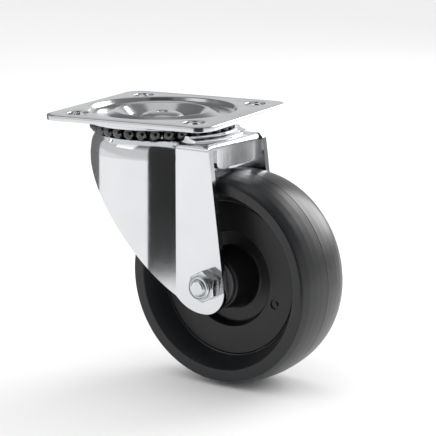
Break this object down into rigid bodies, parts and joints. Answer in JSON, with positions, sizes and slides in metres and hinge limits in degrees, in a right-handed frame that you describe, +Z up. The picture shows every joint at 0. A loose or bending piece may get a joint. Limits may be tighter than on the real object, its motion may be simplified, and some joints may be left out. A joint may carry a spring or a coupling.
{
  "type": "swivel castor",
  "caption": "Swivel castor with a square bolt-on plate, ball-bearing swivel head, pressed-steel fork and solid black plastic wheel.",
  "frame": {"origin": "the point where the swivel axis meets the top face of the mounting plate", "axes": "+Z up out of the plate, X and Y along the plate's sides; the fork trails towards +X, turned 8 degrees towards -Y at rest"},
  "size_m": [0.1329, 0.088, 0.125],
  "materials": {
    "zinc_plated_steel": "bright zinc plate on pressed sheet, smooth",
    "zinc_plated_fastener": "bright zinc plate on turned and forged steel",
    "ball_steel": "polished and greased",
    "black_plastic": "satin moulded polyamide",
    "nylon": "natural nylon",
    "bush_plastic": "moulded acetal"
  },
  "bodies": {
    "mounting_plate": {"top_plate": "zinc_plated_steel", "kingpin": "zinc_plated_fastener", "lower_race_cup": "zinc_plated_steel"},
    "ball_rows": {"upper_ball_01": "ball_steel", "upper_ball_02": "ball_steel", "upper_ball_03": "ball_steel", "upper_ball_04": "ball_steel", "upper_ball_05": "ball_steel", "upper_ball_06": "ball_steel", "upper_ball_07": "ball_steel", "upper_ball_08": "ball_steel", "upper_ball_09": "ball_steel", "upper_ball_10": "ball_steel", "upper_ball_11": "ball_steel", "upper_ball_12": "ball_steel", "upper_ball_13": "ball_steel", "upper_ball_14": "ball_steel", "upper_ball_15": "ball_steel", "upper_ball_16": "ball_steel", "upper_ball_17": "ball_steel", "upper_ball_18": "ball_steel", "upper_ball_19": "ball_steel", "upper_ball_20": "ball_steel", "upper_ball_21": "ball_steel", "upper_ball_22": "ball_steel", "upper_ball_23": "ball_steel", "upper_ball_24": "ball_steel", "upper_ball_25": "ball_steel", "upper_ball_26": "ball_steel", "upper_ball_27": "ball_steel", "upper_ball_28": "ball_steel", "upper_ball_29": "ball_steel", "upper_ball_30": "ball_steel", "upper_ball_31": "ball_steel", "upper_ball_32": "ball_steel", "lower_ball_01": "ball_steel", "lower_ball_02": "ball_steel", "lower_ball_03": "ball_steel", "lower_ball_04": "ball_steel", "lower_ball_05": "ball_steel", "lower_ball_06": "ball_steel", "lower_ball_07": "ball_steel", "lower_ball_08": "ball_steel", "lower_ball_09": "ball_steel", "lower_ball_10": "ball_steel", "lower_ball_11": "ball_steel", "lower_ball_12": "ball_steel", "lower_ball_13": "ball_steel", "lower_ball_14": "ball_steel"},
    "swivel_fork": {"fork": "zinc_plated_steel", "axle_bolt": "zinc_plated_fastener", "axle_nut": "zinc_plated_fastener", "nut_insert": "nylon", "axle_sleeve": "zinc_plated_fastener"},
    "wheel": {"tyre": "black_plastic", "wheel_centre": "black_plastic", "bush_near": "bush_plastic", "bush_far": "bush_plastic"}
  },
  "joints": [
    {"name": "swivel", "type": "hinge", "parent": "mounting_plate", "child": "swivel_fork", "pos_m": [0, 0, 0], "axis": [0, 0, 1], "continuous": true},
    {"name": "balls", "type": "hinge", "parent": "mounting_plate", "child": "ball_rows", "pos_m": [0, 0, 0], "axis": [0, 0, 1], "continuous": true},
    {"name": "wheel_spin", "type": "hinge", "parent": "swivel_fork", "child": "wheel", "pos_m": [0.04258, -0.00598, -0.075], "axis": [0.1392, 0.9903, 0], "continuous": true}
  ],
  "couplings": [
    {"joint": "balls", "follows": "swivel", "ratio": 0.5}
  ]
}
